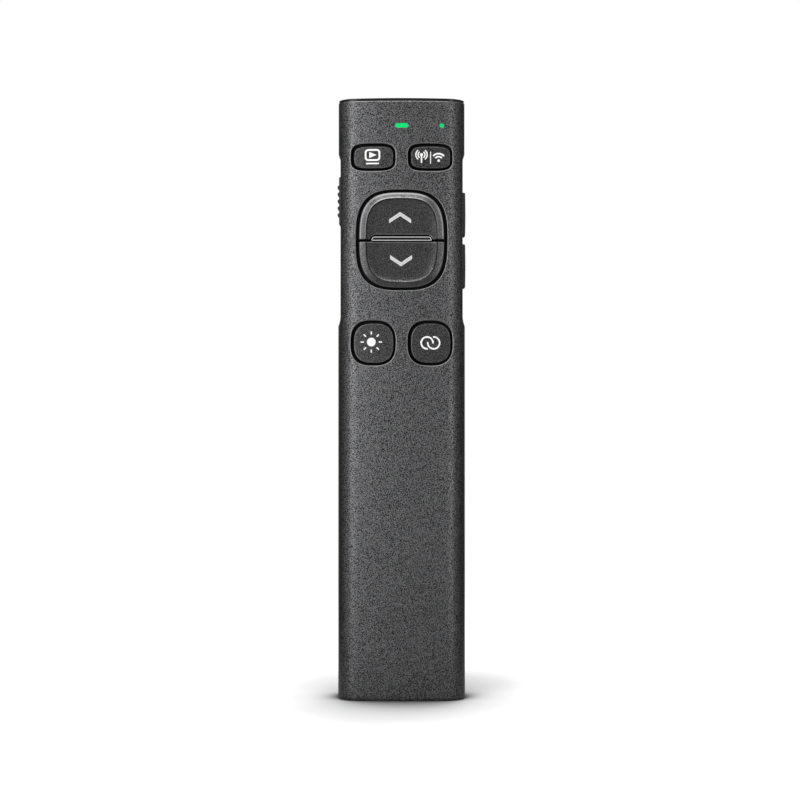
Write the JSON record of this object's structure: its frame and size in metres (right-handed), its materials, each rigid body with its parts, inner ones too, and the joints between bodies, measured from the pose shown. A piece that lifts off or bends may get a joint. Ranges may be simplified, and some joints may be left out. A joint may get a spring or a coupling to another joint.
{
  "type": "wireless presentation clicker",
  "caption": "Slim wireless presentation clicker with a bevelled page pad, small face keys, side volume keys, a ridged power slide and a stowed USB receiver.",
  "frame": {"origin": "centre of the flat foot that the clicker stands on", "axes": "+Z from the foot to the end window, -Y out of the front with the keys, +X to the right seen from the front"},
  "size_m": [0.0322, 0.0156, 0.15],
  "materials": {
    "housing_paint": "fine metallic dark grey paint",
    "window_black": "gloss black",
    "key_grey": "fine satin",
    "pad_grey": "fine satin",
    "bar_gloss": "gloss black",
    "side_black": "fine satin",
    "light_green": "lit green",
    "board_green": "solder mask",
    "switch_body": "moulded",
    "stem_black": "moulded",
    "led_white": "moulded",
    "chip_black": "moulded",
    "brass": "turned",
    "lens_glass": "polished",
    "diode_steel": "plain",
    "cell_foil": "laminated foil",
    "tape_white": "foam tape",
    "lead_red": "insulated",
    "plug_cream": "moulded",
    "port_steel": "nickel plated",
    "port_black": "moulded",
    "receiver_black": "fine satin",
    "receiver_steel": "nickel plated",
    "magnet_nickel": "nickel plated",
    "screw_black": "black zinc"
  },
  "bodies": {
    "housing": {"front_shell": "housing_paint", "rear_shell": "housing_paint", "end_window": "window_black", "divider_bar": "bar_gloss", "status_light_pipe": "light_green", "link_light_pipe": "light_green", "circuit_board": "board_green", "key_switches": "switch_body", "side_switches": "switch_body", "slide_switch": "switch_body", "indicator_leds": "led_white", "controller_chip": "chip_black", "motion_chip": "chip_black", "charger_chip": "chip_black", "emitter_barrel": "brass", "emitter_lens": "lens_glass", "emitter_diode": "diode_steel", "battery_cell": "cell_foil", "cell_tape": "tape_white", "battery_leads": "lead_red", "battery_plug": "plug_cream", "charge_port_shell": "port_steel", "charge_port_tongue": "port_black", "bay_magnet": "magnet_nickel", "case_screws": "screw_black"},
    "play": {"play_key": "key_grey", "play_stem": "stem_black"},
    "mode": {"mode_key": "key_grey", "mode_stem": "stem_black"},
    "page_back": {"page_back_key": "pad_grey", "page_back_stem": "stem_black"},
    "page_next": {"page_next_key": "pad_grey", "page_next_stem": "stem_black"},
    "spotlight": {"spotlight_key": "key_grey", "spotlight_stem": "stem_black"},
    "link": {"link_key": "key_grey", "link_stem": "stem_black"},
    "volume_up": {"volume_up_key": "side_black", "volume_up_stem": "stem_black"},
    "volume_down": {"volume_down_key": "side_black", "volume_down_stem": "stem_black"},
    "power": {"power_slide": "side_black", "slide_lever": "stem_black"},
    "receiver": {"receiver_cap": "receiver_black", "receiver_plug": "receiver_steel", "receiver_tongue": "port_black"}
  },
  "joints": [
    {"name": "play_press", "type": "slide", "parent": "housing", "child": "play", "axis": [0, 1, 0], "range_m": [0, 0.0004], "stiffness_N_per_m": 1500},
    {"name": "mode_press", "type": "slide", "parent": "housing", "child": "mode", "axis": [0, 1, 0], "range_m": [0, 0.0004], "stiffness_N_per_m": 1500},
    {"name": "page_back_press", "type": "slide", "parent": "housing", "child": "page_back", "axis": [0, 1, 0], "range_m": [0, 0.0004], "stiffness_N_per_m": 1500},
    {"name": "page_next_press", "type": "slide", "parent": "housing", "child": "page_next", "axis": [0, 1, 0], "range_m": [0, 0.0004], "stiffness_N_per_m": 1500},
    {"name": "spotlight_press", "type": "slide", "parent": "housing", "child": "spotlight", "axis": [0, 1, 0], "range_m": [0, 0.0004], "stiffness_N_per_m": 1500},
    {"name": "link_press", "type": "slide", "parent": "housing", "child": "link", "axis": [0, 1, 0], "range_m": [0, 0.0004], "stiffness_N_per_m": 1500},
    {"name": "volume_up_press", "type": "slide", "parent": "housing", "child": "volume_up", "axis": [-1, 0, 0], "range_m": [0, 0.0004], "stiffness_N_per_m": 1500},
    {"name": "volume_down_press", "type": "slide", "parent": "housing", "child": "volume_down", "axis": [-1, 0, 0], "range_m": [0, 0.0004], "stiffness_N_per_m": 1500},
    {"name": "power_slide_travel", "type": "slide", "parent": "housing", "child": "power", "axis": [0, 0, -1], "range_m": [0, 0.002]},
    {"name": "receiver_lift", "type": "slide", "parent": "housing", "child": "receiver", "axis": [0, 1, 0], "range_m": [0, 0.009]}
  ]
}
